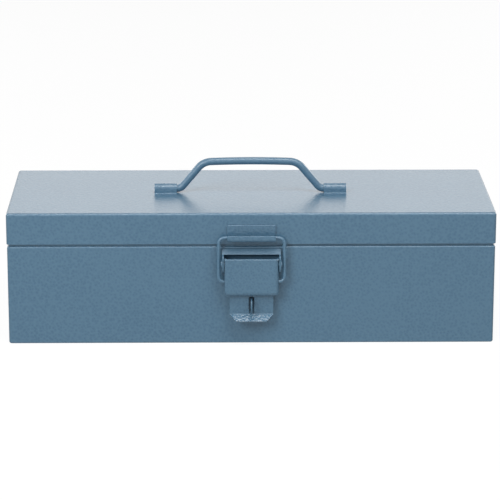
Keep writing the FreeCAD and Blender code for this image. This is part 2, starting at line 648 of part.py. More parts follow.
# The lever: a pan-shaped cover with two cheeks, a slit tongue and a flared finger lip.
def make_latch_lever():
    body = new_body("latch_lever", y=BODY_FRONT, z="dims.body_height")
    front = "-dims.lever_out"
    low = "-dims.lever_low_drop"
    step_back = "(-dims.tongue_out + dims.lever_sheet)"
    cheek = [
        (front, "-dims.lever_top_drop"),
        (front, low, "dims.lever_foot_radius"),
        (step_back, low),
        (step_back, "-dims.cheek_low_drop"),
        (f"-{LEVER_BACK}", "-dims.cheek_waist_drop"),
        (f"-{LEVER_BACK}", "-dims.lever_top_drop", "dims.cheek_radius"),
    ]
    profile = add_outline(new_sketch(body, "cover_profile", "YZ_Plane"), cheek)
    block = solid_step(
        "Pad", body, "cover_block", profile, "dims.lever_width", middle=True
    )
    face = value(front)
    bend_top = value(f"{low} + dims.lever_foot_radius")

    def on_front_rim(spot):
        side = abs(abs(spot.x) - value("dims.lever_width / 2")) < NEAR
        below = spot.z < bend_top + NEAR and spot.y < value(step_back) - NEAR
        return side and (abs(spot.y - face) < NEAR or below)

    soften(body, "cover_edges", block, "dims.lever_edge_radius", on_front_rim)
    inner_low = f"({low} + dims.lever_sheet)"
    hollow = [
        (f"{front} + dims.lever_sheet", "dims.overrun"),
        (
            f"{front} + dims.lever_sheet",
            inner_low,
            "dims.lever_foot_radius - dims.lever_sheet",
        ),
        ("dims.overrun", inner_low),
        ("dims.overrun", "dims.overrun"),
    ]
    sketch = add_outline(new_sketch(body, "cover_hollow_profile", "YZ_Plane"), hollow)
    inner_width = "(dims.lever_width - 2 * dims.lever_sheet)"
    cut = solid_step("Pocket", body, "cover_hollow", sketch, inner_width, middle=True)
    inner_face = value(f"{front} + dims.lever_sheet")

    def on_hollow_rim(spot):
        side = abs(abs(spot.x) - value(inner_width) / 2) < NEAR
        below = spot.z < bend_top + NEAR and spot.y < value(step_back) + NEAR
        return side and (abs(spot.y - inner_face) < NEAR or below)

    inside = "dims.lever_edge_radius - dims.lever_sheet"
    soften(body, "hollow_edges", cut, inside, on_hollow_rim)
    sine, cosine = "sin(dims.lip_angle)", "cos(dims.lip_angle)"
    tip_y = f"(-dims.tongue_out - dims.lip_length * {sine})"
    tip_z = f"(-dims.lip_drop - dims.lip_length * {cosine})"
    fold = "(dims.lever_sheet * tan(dims.lip_angle / 2))"
    tongue = [
        ("-dims.tongue_out", inner_low),
        ("-dims.tongue_out", "-dims.lip_drop", "dims.lip_bend_radius"),
        (tip_y, tip_z),
        (
            f"{tip_y} + dims.lever_sheet * {cosine}",
            f"{tip_z} - dims.lever_sheet * {sine}",
        ),
        (
            step_back,
            f"-dims.lip_drop - {fold}",
            "dims.lip_bend_radius + dims.lever_sheet",
        ),
        (step_back, inner_low),
    ]
    sketch = add_outline(new_sketch(body, "tongue_profile", "YZ_Plane"), tongue)
    solid_step("Pad", body, "tongue", sketch, "dims.tongue_width", middle=True)
    half = "(dims.tongue_width / 2)"
    half_tip = "(dims.lip_tip_width / 2)"
    slope = f"(({half} - {half_tip}) / (dims.lip_length * {cosine}))"
    below = f"({tip_z} - dims.lever_sheet - dims.overrun)"
    trims = new_sketch(body, "lip_trim_plan", "XZ_Plane")
    for side in (-1, 1):
        corners = [
            (f"{side} * {half}", "-dims.lip_drop"),
            (f"{side} * ({half} + dims.overrun)", "-dims.lip_drop"),
            (f"{side} * ({half} + dims.overrun)", below),
            (f"{side} * ({half} + {slope} * ({below} + dims.lip_drop))", below),
        ]
        add_outline(trims, corners)
    reach = "2 * (dims.lever_out + dims.lip_length)"
    solid_step("Pocket", body, "lip_trim", trims, reach, middle=True)
    half_slit = "(dims.slit_width / 2)"
    slit = [
        (f"-{half_slit}", "-dims.slit_low_drop", "dims.slit_radius"),
        (half_slit, "-dims.slit_low_drop", "dims.slit_radius"),
        (half_slit, "-dims.slit_top_drop", "dims.slit_radius"),
        (f"-{half_slit}", "-dims.slit_top_drop", "dims.slit_radius"),
    ]
    sketch = add_outline(new_sketch(body, "slit_plan", "XZ_Plane"), slit)
    solid_step("Pocket", body, "slit", sketch, reach, middle=True)
    holes = new_sketch(body, "lever_holes_plan", "YZ_Plane")
    pivot = "dims.pivot_radius + dims.pivot_clearance"
    link = f"{WIRE_RADIUS} + dims.wire_clearance"
    add_circle(holes, "-dims.pivot_out", "-dims.pivot_drop", pivot)
    add_circle(holes, "-dims.link_out", "-dims.link_drop", link)
    solid_step("Pocket", body, "lever_holes", holes, "dims.lever_width", middle=True)
    return body


# The padlock staple: a half-moon tab that stands through the lever's slit, on a welded foot.
def make_padlock_staple():
    body = new_body("padlock_staple", y=BODY_FRONT, z="dims.body_height")
    tab = [
        ("0", "-dims.staple_top_drop"),
        ("0", "-dims.staple_low_drop"),
        ("-dims.staple_out", "-dims.staple_low_drop", "dims.staple_round"),
        ("-dims.staple_out", "-dims.staple_top_drop", "dims.staple_round"),
    ]
    sketch = add_outline(new_sketch(body, "staple_profile", "YZ_Plane"), tab)
    solid_step("Pad", body, "staple_tab", sketch, "dims.staple_sheet", middle=True)
    hole = add_circle(
        new_sketch(body, "padlock_hole_plan", "YZ_Plane"),
        "-dims.padlock_out",
        "-(dims.staple_top_drop + dims.staple_low_drop) / 2",
        "dims.padlock_radius",
    )
    through = "2 * dims.staple_sheet"
    solid_step("Pocket", body, "padlock_hole", hole, through, middle=True)
    half = "(dims.staple_sheet / 2)"
    foot = [
        (f"-{half}", "-dims.staple_low_drop"),
        (f"dims.staple_foot - {half}", "-dims.staple_low_drop", "dims.slit_radius"),
        (f"dims.staple_foot - {half}", "-dims.staple_top_drop", "dims.slit_radius"),
        (f"-{half}", "-dims.staple_top_drop"),
    ]
    sketch = add_outline(new_sketch(body, "staple_foot_plan", "XZ_Plane"), foot)
    solid_step("Pad", body, "staple_foot", sketch, "dims.staple_sheet")
    return body


# A hinge: a leaf on the body with two knuckles, a leaf on the lid with one, and a pin.
# Each is built about the pin's axis, with the box on its -Y side.
def make_body_leaf(name, side):
    half = "(dims.hinge_width / 2)"
    middle = "(dims.knuckle_middle / 2)"
    plane = "(-dims.hinge_out - dims.lid_overhang)"
    tall = "(dims.hinge_leaf - dims.hinge_notch)"
    leaf = make_block(
        f"{name}_leaf",
        f"-{half}",
        plane,
        "-dims.hinge_leaf",
        "dims.hinge_width",
        "dims.hinge_sheet",
        tall,
    )
    metal = [leaf]
    width = f"({half} - {middle})"
    for end, start in (("near", f"-{half}"), ("far", middle)):
        root = make_block(
            f"{name}_{end}_root",
            start,
            plane,
            "-dims.hinge_notch",
            width,
            "dims.hinge_root + dims.lid_overhang",
            "dims.hinge_notch",
        )
        rod = make_rod(
            f"{name}_{end}_knuckle", start, "0", "0", "dims.knuckle_radius", width
        )
        metal += [root, rod]
    bore = make_rod(
        f"{name}_bore", f"-{half}", "0", "0", "dims.pin_radius", "dims.hinge_width"
    )
    place = f"{side} * dims.hinge_centre"
    metal = join(f"{name}_metal", metal)
    return cut_away(name, metal, bore, x=place, y=HINGE_AXIS, z=PIN_HEIGHT)


def make_lid_leaf(name, side):
    half = "(dims.hinge_width / 2)"
    middle = "(dims.knuckle_middle / 2 - dims.hinge_play)"
    plane = "-dims.hinge_out"
    leaf = make_block(
        f"{name}_leaf",
        f"-{half}",
        plane,
        "dims.hinge_notch",
        "dims.hinge_width",
        "dims.hinge_sheet",
        "dims.hinge_leaf - dims.hinge_notch",
    )
    root = make_block(
        f"{name}_root",
        f"-{middle}",
        plane,
        "0",
        f"2 * {middle}",
        "dims.hinge_root",
        "dims.hinge_notch",
    )
    knuckle = make_rod(
        f"{name}_knuckle",
        f"-{middle}",
        "0",
        "0",
        "dims.knuckle_radius",
        f"2 * {middle}",
    )
    stop = make_block(
        f"{name}_stop",
        f"-{middle}",
        "0",
        "-dims.hinge_sheet",
        f"2 * {middle}",
        "dims.stop_reach",
        "dims.hinge_sheet",
    )
    bore = make_rod(
        f"{name}_bore",
        f"-{half}",
        "0",
        "0",
        "dims.pin_radius + dims.pin_clearance",
        "dims.hinge_width",
    )
    place = f"{side} * dims.hinge_centre"
    metal = join(f"{name}_metal", [leaf, root, knuckle, stop])
    return cut_away(name, metal, bore, x=place, y=HINGE_AXIS, z=PIN_HEIGHT)


def make_hinge_pin(name, side):
    place = f"{side} * dims.hinge_centre"
    body = new_body(name, x=place, y=HINGE_AXIS, z=PIN_HEIGHT)
    half = "(dims.hinge_width / 2)"
    outer = f"({half} + dims.pin_head)"
    round_off = "dims.pin_head / 2"
    corners = [
        (f"-{outer}", "0"),
        (f"-{outer}", "dims.pin_head_radius", round_off),
        (f"-{half}", "dims.pin_head_radius"),
        (f"-{half}", "dims.pin_radius"),
        (half, "dims.pin_radius"),
        (half, "dims.pin_head_radius"),
        (outer, "dims.pin_head_radius", round_off),
        (outer, "0"),
    ]
    sketch = add_outline(new_sketch(body, f"{name}_profile", "XY_Plane"), corners)
    turned = body.newObject("PartDesign::Revolution", f"{name}_turned")
    turned.Profile = sketch
    turned.ReferenceAxis = (sketch, ["H_Axis"])
    document.recompute()
    return body


def make_all_pieces():
    pieces = [make_body_shell(), make_lid_shell(), make_handle_bail()]
    pieces += [make_keeper_hook(), make_latch_base(), make_pivot_pin()]
    pieces += [make_latch_lever(), make_latch_loop(), make_padlock_staple()]
    for word, side in (("left", -1), ("right", 1)):
        pieces.append(make_strap(f"handle_strap_{word}", side))
        pieces.append(make_body_leaf(f"hinge_body_leaf_{word}", side))
        pieces.append(make_lid_leaf(f"hinge_lid_leaf_{word}", side))
        pieces.append(make_hinge_pin(f"hinge_pin_{word}", side))
    return pieces


def check_document():
    """Stops if any object failed to rebuild."""
    document.recompute()
    for thing in document.Objects:
        if "Invalid" in thing.State or "Error" in thing.State:
            raise ValueError(f"{thing.Name} failed: {thing.State}")


def write_pieces(pieces):
    """Checks each piece and writes it to a file named by its label."""
    os.makedirs("parts", exist_ok=True)
    for piece in pieces:
        shape = piece.Shape
        if shape.isNull() or not shape.isValid() or not shape.Solids:
            raise ValueError(f"{piece.Label} has no valid solid")
        shape.exportStep(f"parts/{piece.Label}.step")
        print(piece.Label, len(shape.Solids), "solid", round(shape.Volume, 1), "mm3")


all_pieces = make_all_pieces()
check_document()
write_pieces(all_pieces)
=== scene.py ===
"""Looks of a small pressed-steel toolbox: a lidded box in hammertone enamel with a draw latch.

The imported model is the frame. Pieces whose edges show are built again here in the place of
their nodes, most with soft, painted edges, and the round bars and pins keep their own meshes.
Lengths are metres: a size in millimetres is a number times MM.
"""

import json
import logging
import math
from collections.abc import Callable, Iterable, Sequence
from dataclasses import dataclass
from enum import Enum

import bmesh
import bpy
from mathutils import Matrix, Vector

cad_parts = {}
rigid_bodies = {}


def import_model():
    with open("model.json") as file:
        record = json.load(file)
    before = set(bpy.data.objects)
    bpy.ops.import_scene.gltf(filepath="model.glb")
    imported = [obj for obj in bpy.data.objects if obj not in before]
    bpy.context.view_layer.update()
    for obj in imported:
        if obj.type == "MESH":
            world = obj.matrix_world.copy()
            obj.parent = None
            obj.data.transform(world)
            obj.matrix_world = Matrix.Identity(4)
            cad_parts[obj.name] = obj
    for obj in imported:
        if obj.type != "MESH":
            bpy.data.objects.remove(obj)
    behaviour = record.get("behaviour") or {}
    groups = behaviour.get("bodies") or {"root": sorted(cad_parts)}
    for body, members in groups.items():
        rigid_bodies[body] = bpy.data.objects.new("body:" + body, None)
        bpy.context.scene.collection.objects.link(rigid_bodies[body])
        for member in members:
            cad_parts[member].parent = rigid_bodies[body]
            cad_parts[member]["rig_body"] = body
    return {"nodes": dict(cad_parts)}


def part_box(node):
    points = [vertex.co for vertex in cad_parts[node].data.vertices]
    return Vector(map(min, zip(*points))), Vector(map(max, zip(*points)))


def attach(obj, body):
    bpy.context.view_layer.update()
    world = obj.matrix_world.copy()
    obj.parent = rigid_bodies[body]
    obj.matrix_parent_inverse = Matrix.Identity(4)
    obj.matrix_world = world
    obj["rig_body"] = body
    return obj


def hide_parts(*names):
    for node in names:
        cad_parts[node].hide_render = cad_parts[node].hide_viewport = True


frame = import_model()
log = logging.getLogger("toolbox")

MM = 0.001
# How near two places are when they count as one.
NEAR = 0.01 * MM
# How near two corners are when a cut has left one corner twice.
TWIN = NEAR / 10
# How far a cutting tool runs past the metal.
OVERRUN = 3.0 * MM
# Facets of a round bar or hole, and of a bend of a quarter turn.
ROUND_FACETS = 48
BEND_FACETS = 8
# The bevel profile that is a true arc.
ARC = 0.5
# Radius that the enamel gives a cut edge of the shells, and of the thicker pressings.
SHEET_EDGE = 0.22 * MM
PRESSED_EDGE = 0.38 * MM
# No radius: the narrow facets of the straps, the latch's base and the staple have no room
# for one, and a bevel squeezed to nothing spoils the shading.
CRISP = 0.0
WHITE = "#FFFFFF"

Corner = tuple[float, float, float]
Test = Callable[[Vector], bool]


class Side(Enum):
    """The two ends of the box, as the sign of X."""

    LEFT = -1
    RIGHT = 1

    @property
    def word(self) -> str:
        """The word that ends the names of pieces on this side."""
        return self.name.lower()


class Cut(Enum):
    """What one closed shape does to another."""

    REMOVE = "DIFFERENCE"
    ADD = "UNION"


# Materials


def linear(code: str) -> tuple[float, float, float, float]:
    """Turns an sRGB hex colour such as #5C7B92 into linear light.

    Args:
        code: Six hex digits after a hash.

    Returns:
        Red, green and blue in linear light, and an alpha of one.
    """
    # The numbers below are the sRGB standard's own.
    shares = [int(code[i : i + 2], 16) / 255 for i in (1, 3, 5)]
    red, green, blue = (
        s / 12.92 if s <= 0.04045 else ((s + 0.055) / 1.055) ** 2.4 for s in shares
    )
    return red, green, blue, 1.0


def add_node(
    tree: bpy.types.NodeTree, kind: str, inputs: dict | None = None, **settings: object
) -> bpy.types.Node:
    """Adds one node with its settings and its links.

    Args:
        tree: The material's or the world's node tree.
        kind: Blender's name for the node type.
        inputs: For each socket, by name or number, a value or the socket that feeds it.
        settings: Properties of the node itself.

    Returns:
        The new node.
    """
    node = tree.nodes.new(kind)
    for key, setting in settings.items():
        setattr(node, key, setting)
    for key, entry in (inputs or {}).items():
        if isinstance(entry, bpy.types.NodeSocket):
            tree.links.new(entry, node.inputs[key])
        else:
            node.inputs[key].default_value = entry
    return node


@dataclass(frozen=True)
class HammertoneEnamel:
    """Blue-grey hammertone stoving enamel, sprayed on steel and baked.

    The resin pulls itself into shallow round dimples as it cures, so flat sheet shows a quiet
    mottle and any face that catches the lamp sparkles. The gloss is low: reflections are soft.
    """

    name: str
    # Width of one dimple of the hammered grain, and how deep it lies.
    dimple: float
    depth: float
    # How softly one dimple runs into the next, from zero to one.
    blend: float = 0.6
    # Grain of the orange peel between the dimples, and its height as a share of theirs.
    peel: float = 0.7 * MM
    peel_share: float = 0.35
    # Size of the faint clouds where the spray lay thicker, and their share in the tone.
    cloud: float = 60.0 * MM
    cloud_share: float = 0.5
    octaves: float = 2.0
    # The colours at the bottom and at the rim of a dimple, and the tones where they begin.
    deep_colour: str = "#4A6F8A"
    pale_colour: str = "#587D96"
    deep_tone: float = 0.2
    pale_tone: float = 0.9
    # Roughness of the paint, weight of the clear resin on it, and the resin's roughness as a
    # share of the paint's.
    roughness: float = 0.28
    resin: float = 0.5
    resin_share: float = 0.7

    def material(self) -> bpy.types.Material:
        """Builds the enamel.

        Returns:
            The material, whose pattern is fixed to the piece.
        """
        material = bpy.data.materials.new(self.name)
        material.use_nodes = True
        tree = material.node_tree
        tree.nodes.clear()
        place = add_node(tree, "ShaderNodeTexCoord").outputs["Object"]
        dimples = add_node(
            tree,
            "ShaderNodeTexVoronoi",
            {"Vector": place, "Scale": 1 / self.dimple, "Smoothness": self.blend},
            feature="SMOOTH_F1",
        ).outputs["Distance"]
        relief = self._over(tree, place, dimples, self.peel, self.peel_share)
        tone = self._over(tree, place, dimples, self.cloud, self.cloud_share)
        colour = add_node(tree, "ShaderNodeValToRGB", {"Fac": tone})
        ends = colour.color_ramp.elements
        ends[0].position, ends[0].color = self.deep_tone, linear(self.deep_colour)
        ends[1].position, ends[1].color = self.pale_tone, linear(self.pale_colour)
        bump = add_node(
            tree,
            "ShaderNodeBump",
            {"Height": relief, "Distance": self.depth},
        )
        shader = add_node(
            tree,
            "ShaderNodeBsdfPrincipled",
            {
                "Base Color": colour.outputs["Color"],
                "Roughness": self.roughness,
                "Coat Weight": self.resin,
                "Coat Roughness": self.roughness * self.resin_share,
                "Normal": bump.outputs["Normal"],
                "Coat Normal": bump.outputs["Normal"],
            },
        )
        add_node(
            tree,
            "ShaderNodeOutputMaterial",
            {"Surface": shader.outputs["BSDF"]},
        )
        return material

    def _over(
        self,
        tree: bpy.types.NodeTree,
        place: bpy.types.NodeSocket,
        ground: bpy.types.NodeSocket,
        size: float,
        share: float,
    ) -> bpy.types.NodeSocket:
        """Adds noise to a pattern.

        Args:
            tree: The material's node tree.
            place: Coordinates on the piece.
            ground: The pattern to add to.
            size: Width of one swell of the noise.
            share: How much of the noise is added.

        Returns:
            The socket that holds the sum.
        """
        noise = add_node(
            tree,
            "ShaderNodeTexNoise",
            {"Vector": place, "Scale": 1 / size, "Detail": self.octaves},
        )
        return add_node(
            tree,
            "ShaderNodeMath",
            {0: noise.outputs["Fac"], 1: share, 2: ground},
            operation="MULTIPLY_ADD",
        ).outputs[0]


# On large sheet the dimples are wide and shallow, and read as a quiet mottle.
ON_SHEET = HammertoneEnamel("hammertone_on_sheet", dimple=1.9 * MM, depth=0.13 * MM)
# On small pressings they are tight and deep, and glitter where a face meets the lamp.
ON_PRESSINGS = HammertoneEnamel(
    "hammertone_on_pressings", dimple=1.6 * MM, depth=0.17 * MM, roughness=0.25
)
# On the latch's base and staple the spray lay thin: dull, with no glare on the hood.
# Their colours are darker than the other enamels': painted shade, for the shadow that the
# keeper hook casts on the hood.
ON_LATCH_BASE_WITH_PAINTED_SHADE = HammertoneEnamel(
    "hammertone_on_latch_base",
    dimple=1.6 * MM,
    depth=0.05 * MM,
    # Darker than the other enamels' colours: painted shade for the hood under the keeper hook.
    deep_colour="#43667F",
    pale_colour="#4E728A",
    roughness=0.5,
    resin=0.1,
)
# On bars, wire and pins it ran nearly smooth, with a soft line of light along them.
ON_BARS = HammertoneEnamel(
    "hammertone_on_bars", dimple=1.2 * MM, depth=0.06 * MM, roughness=0.34
)


# Shaping


def block(low: Vector, high: Vector) -> bmesh.types.BMesh:
    """A box between two corners.

    Args:
        low: Its lowest corner.
        high: Its highest corner.

    Returns:
        The box as a new bmesh.
    """
    bm = bmesh.new()
    bmesh.ops.create_cube(bm, size=1.0)
    size = high - low
    bmesh.ops.scale(bm, vec=size, verts=bm.verts)
    bmesh.ops.translate(bm, vec=low + size / 2, verts=bm.verts)
    return bm


def rod(centre: Vector, radius: float, length: float) -> bmesh.types.BMesh:
    """A round bar along X about a centre.

    Args:
        centre: The middle of the bar.
        radius: Its radius.
        length: Its length.

    Returns:
        The bar as a new bmesh.
    """
    bm = bmesh.new()
    turned = Matrix.Translation(centre) @ Matrix.Rotation(math.pi / 2, 4, "Y")
    bmesh.ops.create_cone(
        bm,
        cap_ends=True,
        segments=ROUND_FACETS,
        radius1=radius,
        radius2=radius,
        depth=length,
        matrix=turned,
    )
    return bm


def edges_at(bm: bmesh.types.BMesh, test: Test) -> list[bmesh.types.BMEdge]:
    """Picks edges by the place of their ends.

    Args:
        bm: The workpiece.
        test: What both ends have to pass.

    Returns:
        The edges that pass.
    """
    return [e for e in bm.edges if all(test(v.co) for v in e.verts)]


def along(edge: bmesh.types.BMEdge, axis: int) -> bool:
    """Whether an edge runs along one axis.

    Args:
        edge: The edge.
        axis: Number of the axis, from zero for X.

    Returns:
        True where it does.
    """
    run = edge.verts[1].co - edge.verts[0].co
    return abs(run[axis]) > run.length - NEAR


def round_off(
    bm: bmesh.types.BMesh, edges: Iterable[bmesh.types.BMEdge], radius: float
) -> None:
    """Rounds edges of one angle together to a radius.

    Args:
        bm: The workpiece.
        edges: Edges whose faces all meet at the same angle.
        radius: The radius of the bend.
    """
    chosen = list(edges)
    if not chosen:
        raise ValueError("no edge to round")
    turn = chosen[0].calc_face_angle()
    bmesh.ops.bevel(
        bm,
        geom=chosen,
        offset=radius * math.tan(turn / 2),
        offset_type="OFFSET",
        segments=BEND_FACETS,
        profile=ARC,
        affect="EDGES",
        material=-1,
    )


def prism(corners: Sequence[Corner], low: float, high: float) -> bmesh.types.BMesh:
    """A straight piece along X with one section throughout.

    Args:
        corners: The section's corners as (y, z, radius), with a radius of zero where sharp.
        low: X of one end.
        high: X of the other end.

    Returns:
        The piece as a new bmesh with its faces pointing outwards.
    """
    bm = bmesh.new()
    face = bm.faces.new([bm.verts.new((low, y, z)) for y, z, _ in corners])
    grown = bmesh.ops.extrude_face_region(bm, geom=[face])["geom"]
    moved = [g for g in grown if isinstance(g, bmesh.types.BMVert)]
    bmesh.ops.translate(bm, verts=moved, vec=(high - low, 0, 0))
    bmesh.ops.recalc_face_normals(bm, faces=bm.faces)
    for y, z, radius in corners:
        if radius:
            spot = Vector((0, y, z))
            round_off(
                bm,
                edges_at(bm, lambda co: (co - spot).yz.length < NEAR),
                radius,
            )
    return bm


def as_object(name: str, bm: bmesh.types.BMesh) -> bpy.types.Object:
    """Puts a bmesh into a new object of the scene.

    Corners and faces are put in order of place. Their order in a bmesh changes from run to
    run, and the way that large faces are shaded follows it.

    Args:
        name: Name of the object and of its mesh.
        bm: The shape, which is used up.

    Returns:
        The new object, at the origin.
    """
    corners = sorted(bm.verts, key=lambda v: tuple(round(c / TWIN) for c in v.co))
    number = {corner: count for count, corner in enumerate(corners)}
    rings = []
    for face in bm.faces:
        ring = [number[v] for v in face.verts]
        first = ring.index(min(ring))
        rings.append(ring[first:] + ring[:first])
    mesh = bpy.data.meshes.new(name)
    mesh.from_pydata([v.co[:] for v in corners], [], sorted(rings))
    bm.free()
    piece = bpy.data.objects.new(name, mesh)
    bpy.context.scene.collection.objects.link(piece)
    return piece


def work(
    bm: bmesh.types.BMesh, tools: Iterable[bmesh.types.BMesh], cut: Cut
) -> bmesh.types.BMesh:
    """Adds closed tools to a workpiece or takes them out of it, one after another.

    Args:
        bm: The workpiece, which is used up.
        tools: Closed shapes, which are used up.
        cut: Whether they are added or removed.

    Returns:
        The result as a new bmesh.
    """
    for tool in tools:
        base, cutter = as_object("work_base", bm), as_object("work_tool", tool)
        step = base.modifiers.new("step", "BOOLEAN")
        step.operation = cut.value
        step.solver = "EXACT"
        step.object = cutter
        view = bpy.context.evaluated_depsgraph_get()
        bm = bmesh.new()
        bm.from_mesh(base.evaluated_get(view).to_mesh())
        for used in (base, cutter):
            bpy.data.meshes.remove(used.data)
    bmesh.ops.remove_doubles(bm, verts=bm.verts, dist=TWIN)
    return bm


@dataclass(frozen=True)
class Painter:
    """Turns a bmesh into a finished piece that stands for a node of the frame."""

    material: bpy.types.Material
    soft_edge: float = SHEET_EDGE
    soft_facets: int = 3
    # Edges that turn by more than this are cut edges, rounded or crisp.
    soft_from: float = math.radians(38)

    def dress(self, node: str, bm: bmesh.types.BMesh) -> bpy.types.Object:
        """Finishes a piece in place of a node.

        Args:
            node: The node that the piece stands for. The piece rides on the node's body.
            bm: The shape, which is used up.

        Returns:
            The finished object.
        """
        piece = as_object(f"painted_{node}", bm)
        piece.data.materials.append(self.material)
        piece.data.shade_smooth()
        if self.soft_edge > CRISP:
            soft = piece.modifiers.new("enamel_edge", "BEVEL")
            soft.width = self.soft_edge
            soft.segments = self.soft_facets
            soft.limit_method = "ANGLE"
            soft.angle_limit = self.soft_from
            soft.use_clamp_overlap = True
        else:
            piece.data.set_sharp_from_angle(angle=self.soft_from)
        even = piece.modifiers.new("even_shading", "WEIGHTED_NORMAL")
        even.keep_sharp = True
        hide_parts(node)
        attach(piece, frame["nodes"][node]["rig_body"])
        log.info("%s stands for %s", piece.name, node)
        return piece

    def repaint(self, node: str) -> bpy.types.Object:
        """Gives this finish to a node that keeps its own mesh.

        Args:
            node: The node.

        Returns:
            The node's object.
        """
        piece = frame["nodes"][node]
        for slot in piece.material_slots:
            slot.material = self.material
        log.info("%s keeps its mesh", node)
        return piece


# The box and its lid


@dataclass(frozen=True)
class Strap:
    """Sizes of a saddle strap over the handle's bar."""

    bar: float = 2.6 * MM
    bar_lift: float = 0.3 * MM
    clearance: float = 0.08 * MM
    sheet: float = 1.0 * MM
    # The enamel's fillet where the strap meets the lid: how far it runs out, how thick its
    # edge is, and the radius of its hollow as a share of its run.
    fillet: float = 0.7 * MM
    fillet_edge: float = 0.12 * MM
    fillet_share: float = 0.8

    @property
    def bore(self) -> float:
        """Inside radius of the saddle."""
        return self.bar + self.clearance

    @property
    def outside(self) -> float:
        """Outside radius of the saddle."""
        return self.bore + self.sheet


@dataclass
class Shells:
    """The two pressed shells: a box with a stepped rim, and a tray-shaped lid."""

    painter: Painter
    sheet: float = 0.8 * MM
    # The box.
    corner: float = 1.8 * MM
    floor_bend: float = 1.5 * MM
    shoulder_bend: float = 1.2 * MM
    rim_inset: float = 1.3 * MM
    rim_height: float = 6.0 * MM
    # The lid.
    lid_corner: float = 2.1 * MM
    lid_bend: float = 1.8 * MM
    slot_gap: float = 0.1 * MM
    strap: Strap = Strap()

    def box(self) -> bpy.types.Object:
        """Presses the box: walls, a shoulder and a rim from one sheet.

        Returns:
            The finished box.
        """
        low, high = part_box("body_shell")
        shoulder = high.z - self.rim_height
        bm = block(low, Vector((high.x, high.y, shoulder)))
        round_off(bm, [e for e in bm.edges if along(e, 2)], self.corner)
        top = max(bm.faces, key=lambda f: f.calc_center_median().z)
        bmesh.ops.inset_region(
            bm, faces=[top], thickness=self.rim_inset, use_even_offset=True
        )
        grown = bmesh.ops.extrude_face_region(bm, geom=[top])["geom"]
        raised = [g for g in grown if isinstance(g, bmesh.types.BMVert)]
        bmesh.ops.translate(bm, verts=raised, vec=(0, 0, self.rim_height))
        # Only a face that covers the mouth is larger than half of the box's outline.
        mouth = (high.x - low.x) * (high.y - low.y) / 2
        covers = [
            f
            for f in bm.faces
            if f.calc_center_median().z > shoulder - NEAR and f.calc_area() > mouth
        ]
        bmesh.ops.delete(bm, geom=covers, context="FACES_ONLY")
        edge = high.x - self.rim_inset / 2
        depth = high.y - self.rim_inset / 2

        def on_shoulder(co: Vector) -> bool:
            """Whether a point lies on the outer turn of the shoulder."""
            outside = abs(co.x) > edge or abs(co.y) > depth
            return outside and abs(co.z - shoulder) < NEAR

        round_off(bm, edges_at(bm, on_shoulder), self.shoulder_bend)
        floor = edges_at(bm, lambda co: abs(co.z - low.z) < NEAR)
        round_off(bm, floor, self.floor_bend)
        return self.painter.dress("body_shell", self._plate(bm))

    def lid(self) -> bpy.types.Object:
        """Presses the lid: a tray turned over, with slots for the straps' legs.

        Returns:
            The finished lid.
        """
        low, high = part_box("lid_shell")
        bm = block(low, high)
        round_off(bm, [e for e in bm.edges if along(e, 2)], self.lid_corner)
        under = min(bm.faces, key=lambda f: f.calc_center_median().z)
        bmesh.ops.delete(bm, geom=[under], context="FACES_ONLY")
        top = edges_at(bm, lambda co: abs(co.z - high.z) < NEAR)
        round_off(bm, top, self.lid_bend)
        slots = [tool for side in Side for tool in self._slots(side, high.z)]
        bm = work(self._plate(bm), slots, Cut.REMOVE)
        return self.painter.dress("lid_shell", bm)

    def _slots(self, side: Side, top: float) -> list[bmesh.types.BMesh]:
        """The two tools that cut one strap's slots.

        Args:
            side: The strap's end of the box.
            top: Height of the lid's top.

        Returns:
            One tool for each leg of the strap.
        """
        low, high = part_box(f"handle_strap_{side.word}")
        middle = (low.y + high.y) / 2
        leg = self.strap.bore + self.strap.sheet / 2
        half = self.strap.sheet / 2 + self.slot_gap
        reach = Vector((self.slot_gap, 0, 0))
        tools = []
        for face in (-1, 1):
            y = middle + face * leg
            tools.append(
                block(
                    Vector((low.x, y - half, top - OVERRUN)) - reach,
                    Vector((high.x, y + half, top + OVERRUN)) + reach,
                )
            )
        return tools

    def _plate(self, bm: bmesh.types.BMesh) -> bmesh.types.BMesh:
        """Gives an open shell the thickness of the sheet, inwards.

        Args:
            bm: The shell's outer skin.

        Returns:
            The same bmesh, closed.
        """
        bmesh.ops.recalc_face_normals(bm, faces=bm.faces)
        bmesh.ops.solidify(bm, geom=bm.faces[:], thickness=self.sheet)
        bmesh.ops.recalc_face_normals(bm, faces=bm.faces)
        return bm


# The carrying handle


